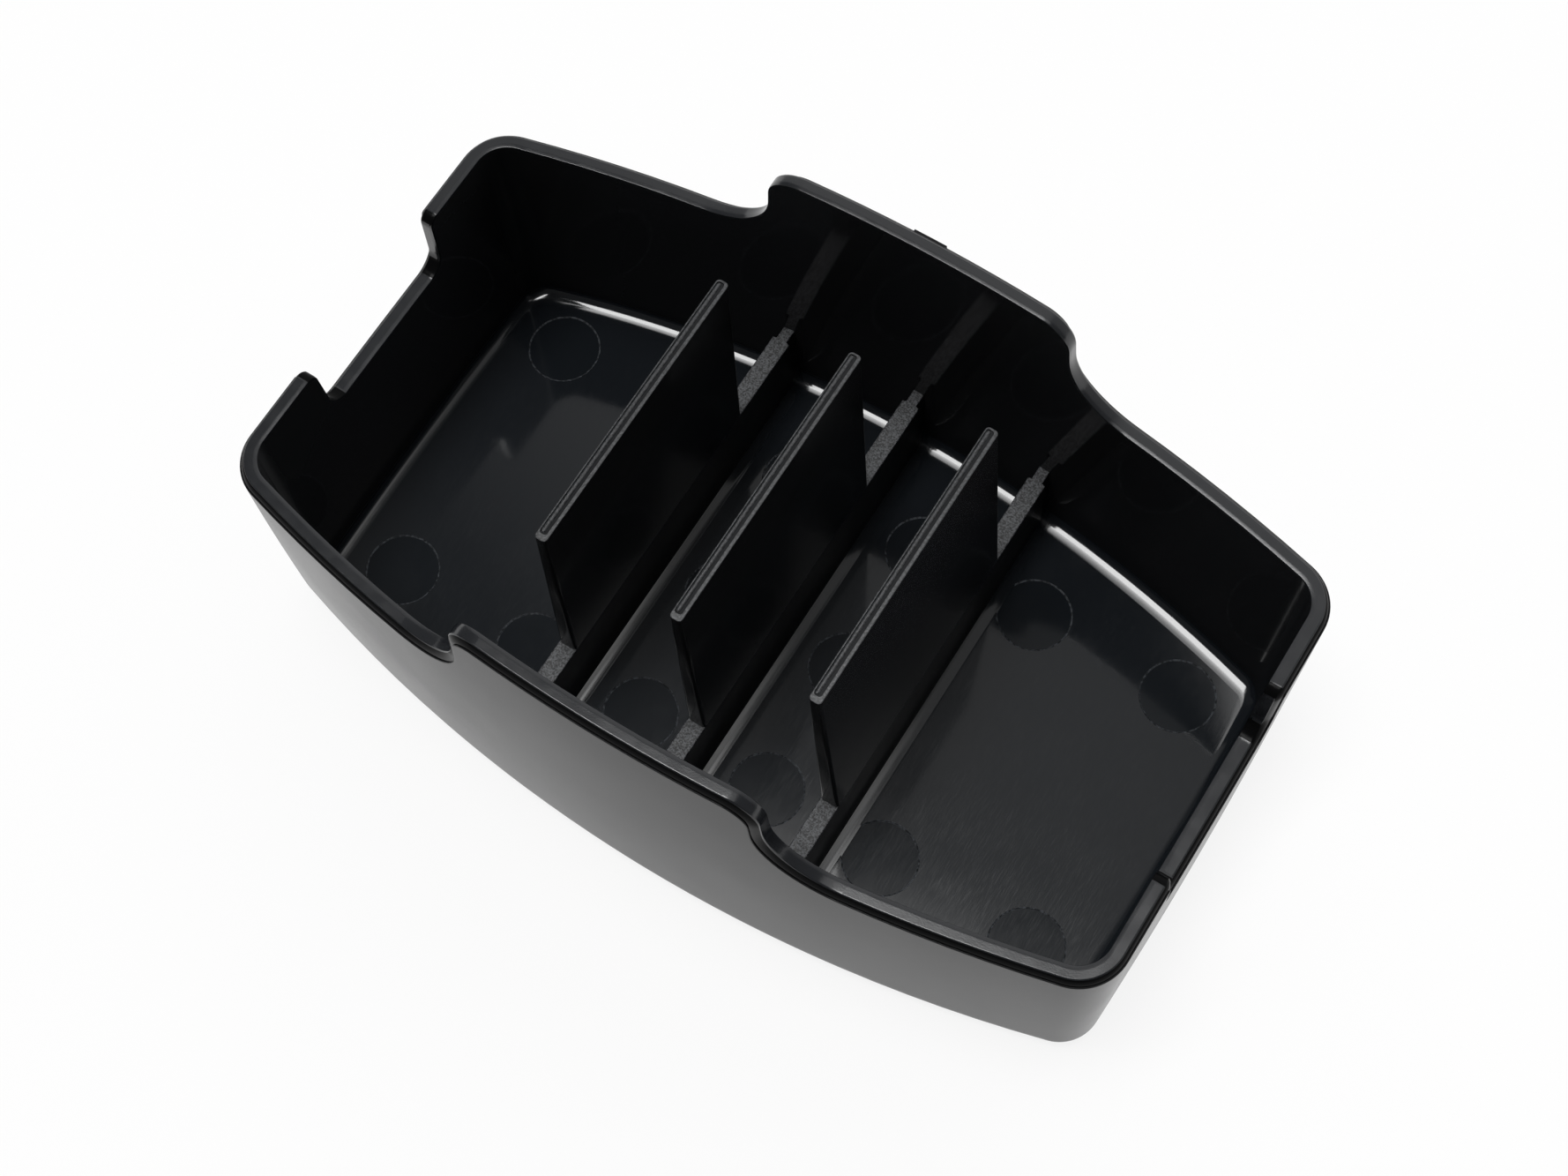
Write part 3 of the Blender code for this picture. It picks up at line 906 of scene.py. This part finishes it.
def addFloor():
    shape = bmesh.new()
    bmesh.ops.create_grid(shape, x_segments=1, y_segments=1, size=studio["floorSize"] / 2)
    mesh = bpy.data.meshes.new("studioFloor")
    shape.to_mesh(mesh)
    shape.free()
    floor = bpy.data.objects.new("studioFloor", mesh)
    material, shader = newMaterial("paleFloor", studio["floorColour"], 0.9)
    shader.inputs["Specular IOR Level"].default_value = 0.0
    # part of the floor's white comes from the backdrop itself, for the camera and for reflections
    tree = material.node_tree
    rays = addNode(tree, "ShaderNodeLightPath").outputs
    seen = addMath(tree, "MAXIMUM", rays["Is Camera Ray"], rays["Is Glossy Ray"])
    seen = addMath(tree, "MAXIMUM", seen, rays["Is Transmission Ray"])
    share = addNode(tree, "ShaderNodeMath", operation="MULTIPLY")
    share.inputs[1].default_value = studio["backdropShare"]
    tree.links.new(seen, share.inputs[0])
    white = addNode(tree, "ShaderNodeEmission")
    mixed = addNode(tree, "ShaderNodeMixShader")
    tree.links.new(share.outputs["Value"], mixed.inputs["Fac"])
    tree.links.new(shader.outputs["BSDF"], mixed.inputs[1])
    tree.links.new(white.outputs["Emission"], mixed.inputs[2])
    tree.links.new(mixed.outputs["Shader"], tree.nodes["Material Output"].inputs["Surface"])
    mesh.materials.append(material)
    bpy.context.scene.collection.objects.link(floor)


def patch(tree, direction, reach, level):
    # smooth change of the light from one level to the other, over a reach along a direction
    place = addNode(tree, "ShaderNodeTexCoord")
    axis = addNode(tree, "ShaderNodeVectorMath", operation="DOT_PRODUCT")
    axis.inputs[1].default_value = direction
    ramp = addNode(tree, "ShaderNodeMapRange", interpolation_type="SMOOTHSTEP", From_Min=reach[0],
                   From_Max=reach[1], To_Min=level[0], To_Max=level[1])
    tree.links.new(place.outputs["Generated"], axis.inputs[0])
    tree.links.new(axis.outputs["Value"], ramp.inputs["Value"])
    return ramp.outputs["Result"]


def addWorld():
    world = bpy.data.worlds.new("softDome")
    bpy.context.scene.world = world
    world.use_nodes = True
    tree = world.node_tree
    room = patch(tree, studio["farDirection"], studio["farReach"], (studio["near"], studio["far"]))
    rightEnd = patch(tree, (1, 0, 0), studio["rightEnd"], (1, studio["rightShare"]))
    room = addMath(tree, "MULTIPLY", room, rightEnd)
    farther = patch(tree, (0, 1, 0), studio["fartherReach"], (0, studio["farther"]))
    room = addMath(tree, "ADD", room, farther)
    for box in softboxes:
        light = patch(tree, (0, 0, 1), studio["softboxRise"], (0, box["level"]))
        for direction, (start, full, fading, end) in box["reaches"]:
            light = addMath(tree, "MULTIPLY", light, patch(tree, direction, (start, full), (0, 1)))
            light = addMath(tree, "MULTIPLY", light, patch(tree, direction, (fading, end), (1, 0)))
        room = addMath(tree, "ADD", room, light)
    # the camera sees plain white beyond the floor
    rays = addNode(tree, "ShaderNodeLightPath")
    seen = addNode(tree, "ShaderNodeMix", data_type="FLOAT", B=1)
    tree.links.new(rays.outputs["Is Camera Ray"], seen.inputs["Factor"])
    tree.links.new(room, seen.inputs["A"])
    background = tree.nodes["Background"]
    background.inputs["Color"].default_value = (1, 1, 1, 1)
    tree.links.new(seen.outputs["Result"], background.inputs["Strength"])


addFloor()
addWorld()
bpy.context.scene.view_settings.view_transform = "Standard"
print("studio set")
